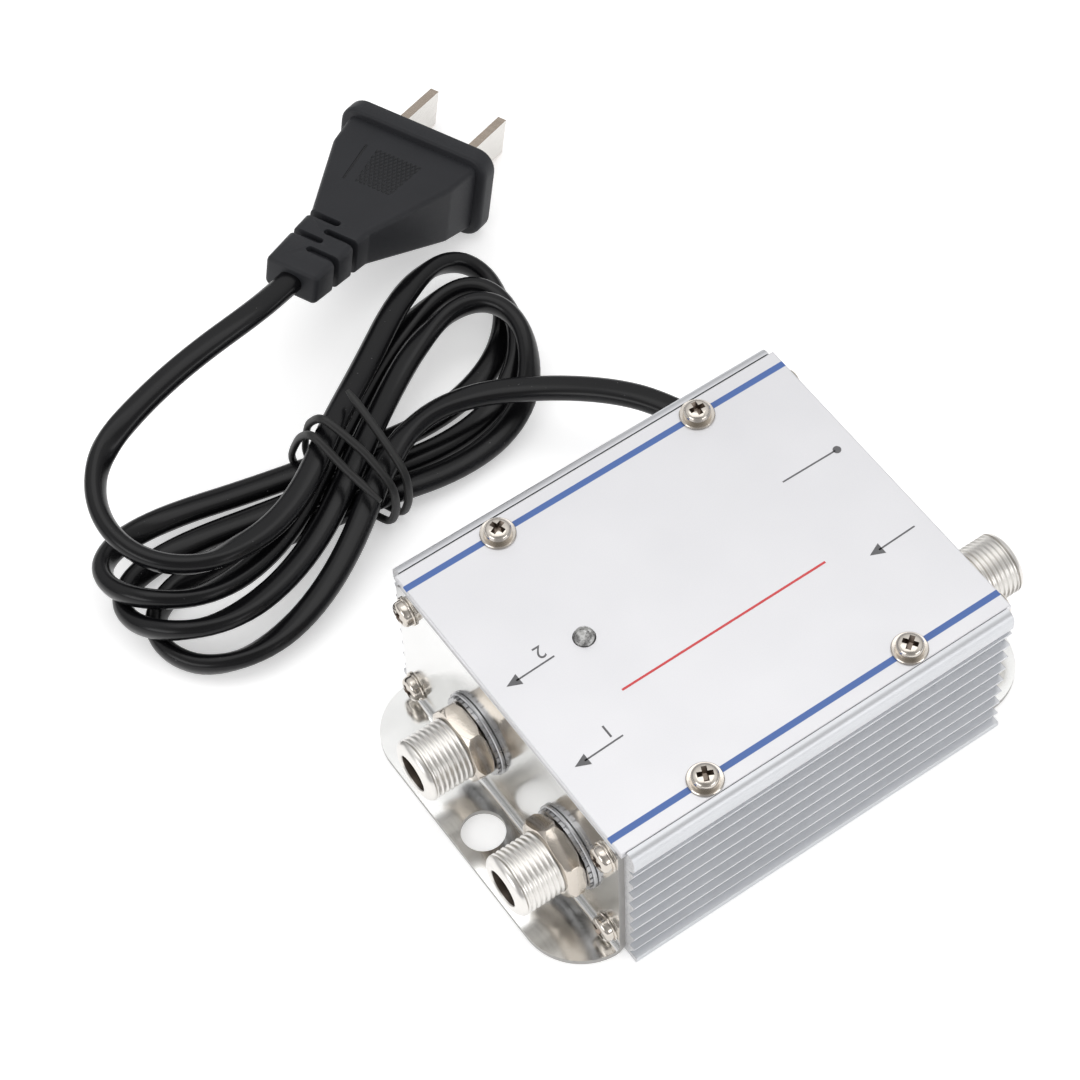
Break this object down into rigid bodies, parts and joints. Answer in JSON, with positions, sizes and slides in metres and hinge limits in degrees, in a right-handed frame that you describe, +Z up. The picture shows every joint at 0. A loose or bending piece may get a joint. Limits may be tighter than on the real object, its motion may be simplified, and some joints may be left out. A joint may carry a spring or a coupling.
{
  "type": "tv signal amplifier",
  "caption": "Small finned metal amplifier box with threaded aerial sockets at both ends, drilled feet, a pilot light, and a mains cord tied in a hank and ending in a flat plug.",
  "frame": {"origin": "under the middle of the housing, on the surface that it lies on", "axes": "+X from the output end to the input end, +Y towards the side that the mains cord leaves, +Z up"},
  "size_m": [0.1074, 0.1441, 0.0308],
  "materials": {
    "housing_aluminium": "satin silver anodised",
    "cover_aluminium": "fine matt silver with two blue printed stripes",
    "bracket_nickel": "bright nickel plate",
    "screw_nickel": "nickel plate",
    "socket_nickel": "nickel plated die casting",
    "nut_nickel": "nickel plate",
    "washer_zinc": "zinc plated spring steel",
    "insulator_plastic": "dark moulding",
    "contact_brass": "bare brass",
    "clear_lens": "clear lens",
    "tinned_wire": "tinned wire",
    "board_laminate": "paper laminate",
    "insulating_card": "pressed card",
    "core_steel": "varnished steel plates",
    "bobbin_plastic": "black moulding",
    "winding_tape": "yellow tape over the winding",
    "capacitor_sleeve": "dark blue sleeve",
    "component_epoxy": "black epoxy",
    "ferrite": "dark ferrite",
    "disc_ceramic": "ochre coating",
    "resistor_body": "tan coating",
    "mains_core_insulation": "brown insulation",
    "cord_pvc": "satin black soft plastic",
    "tie_pvc": "black coated wire",
    "plug_pvc": "matt black moulding",
    "blade_nickel": "nickel plated brass"
  },
  "bodies": {
    "root": {"ceramic_capacitors": "disc_ceramic", "circuit_board": "board_laminate", "cord_grommet": "cord_pvc", "cord_hank": "cord_pvc", "cord_lead": "cord_pvc", "cord_tail": "cord_pvc", "cover_screws": "screw_nickel", "filter_capacitor": "capacitor_sleeve", "first_output_contact": "contact_brass", "first_output_insulator": "insulator_plastic", "first_output_lock_washer": "washer_zinc", "first_output_nut": "nut_nickel", "first_output_socket": "socket_nickel", "first_output_washer": "washer_zinc", "housing": "housing_aluminium", "input_bracket": "bracket_nickel", "input_bracket_screws": "screw_nickel", "input_contact": "contact_brass", "input_insulator": "insulator_plastic", "input_lock_washer": "washer_zinc", "input_nut": "nut_nickel", "input_socket": "socket_nickel", "input_washer": "washer_zinc", "insulating_sheet": "insulating_card", "led_leads": "tinned_wire", "mains_wires": "mains_core_insulation", "output_bracket": "bracket_nickel", "output_bracket_screws": "screw_nickel", "plug_blades": "blade_nickel", "plug_body": "plug_pvc", "rectifier_diodes": "component_epoxy", "regulator": "component_epoxy", "resistors": "resistor_body", "second_output_contact": "contact_brass", "second_output_insulator": "insulator_plastic", "second_output_lock_washer": "washer_zinc", "second_output_nut": "nut_nickel", "second_output_socket": "socket_nickel", "second_output_washer": "washer_zinc", "small_capacitors": "capacitor_sleeve", "socket_wires": "tinned_wire", "splitter_cores": "ferrite", "status_led": "clear_lens", "top_cover": "cover_aluminium", "transformer_bobbin": "bobbin_plastic", "transformer_core": "core_steel", "transformer_winding": "winding_tape", "transistors": "component_epoxy", "twist_tie": "tie_pvc"}
  },
  "joints": []
}
